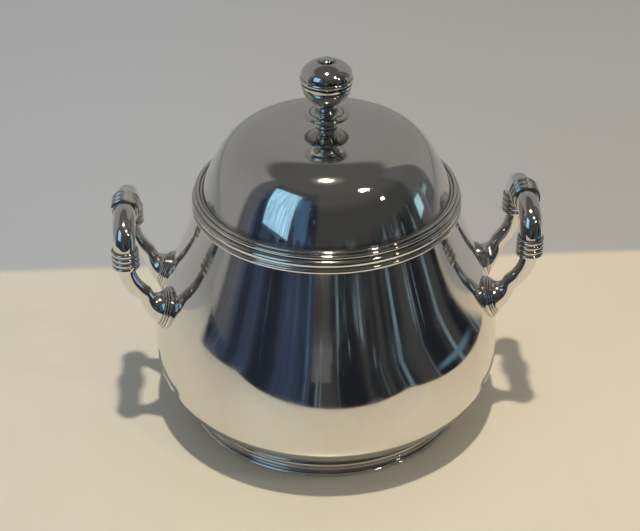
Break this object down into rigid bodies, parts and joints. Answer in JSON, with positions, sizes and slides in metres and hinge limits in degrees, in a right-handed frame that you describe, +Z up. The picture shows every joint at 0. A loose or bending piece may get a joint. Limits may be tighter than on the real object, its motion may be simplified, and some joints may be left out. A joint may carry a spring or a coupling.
{
  "type": "lidded sugar bowl",
  "caption": "Round-bellied silver sugar bowl with an arched handle on each side and a domed lift-off lid with a ball finial.",
  "frame": {"origin": "centre of the foot's resting face, on the bowl's axis", "axes": "+Z up along the bowl's axis, +X from the axis towards the right handle; the handles lie along X"},
  "size_m": [0.1474, 0.1226, 0.1339],
  "materials": {
    "polished_silver": "polished",
    "fixings": "satin"
  },
  "bodies": {
    "bowl": {"bowl_shell": "polished_silver", "bowl_rim_band": "polished_silver", "foot_ring": "polished_silver", "foot_wire": "polished_silver", "left_front_root": "polished_silver", "left_rear_root": "polished_silver", "right_front_root": "polished_silver", "right_rear_root": "polished_silver", "left_front_arm": "polished_silver", "left_rear_arm": "polished_silver", "right_front_arm": "polished_silver", "right_rear_arm": "polished_silver", "left_front_collar": "polished_silver", "left_rear_collar": "polished_silver", "right_front_collar": "polished_silver", "right_rear_collar": "polished_silver", "left_front_grip": "polished_silver", "left_rear_grip": "polished_silver", "right_front_grip": "polished_silver", "right_rear_grip": "polished_silver", "left_top_collar": "polished_silver", "right_top_collar": "polished_silver"},
    "lid": {"lid_dome": "polished_silver", "lid_band": "polished_silver", "lid_bezel": "polished_silver", "lid_washer": "fixings", "lid_nut": "fixings", "finial_stud": "fixings", "finial_base": "polished_silver", "finial_disc": "polished_silver", "finial_cup": "polished_silver", "finial_girdle": "polished_silver", "finial_cap": "polished_silver", "finial_button": "polished_silver"}
  },
  "joints": [
    {"name": "lid_lift", "type": "slide", "parent": "bowl", "child": "lid", "axis": [0, 0, 1], "range_m": [0, 0.06]}
  ]
}
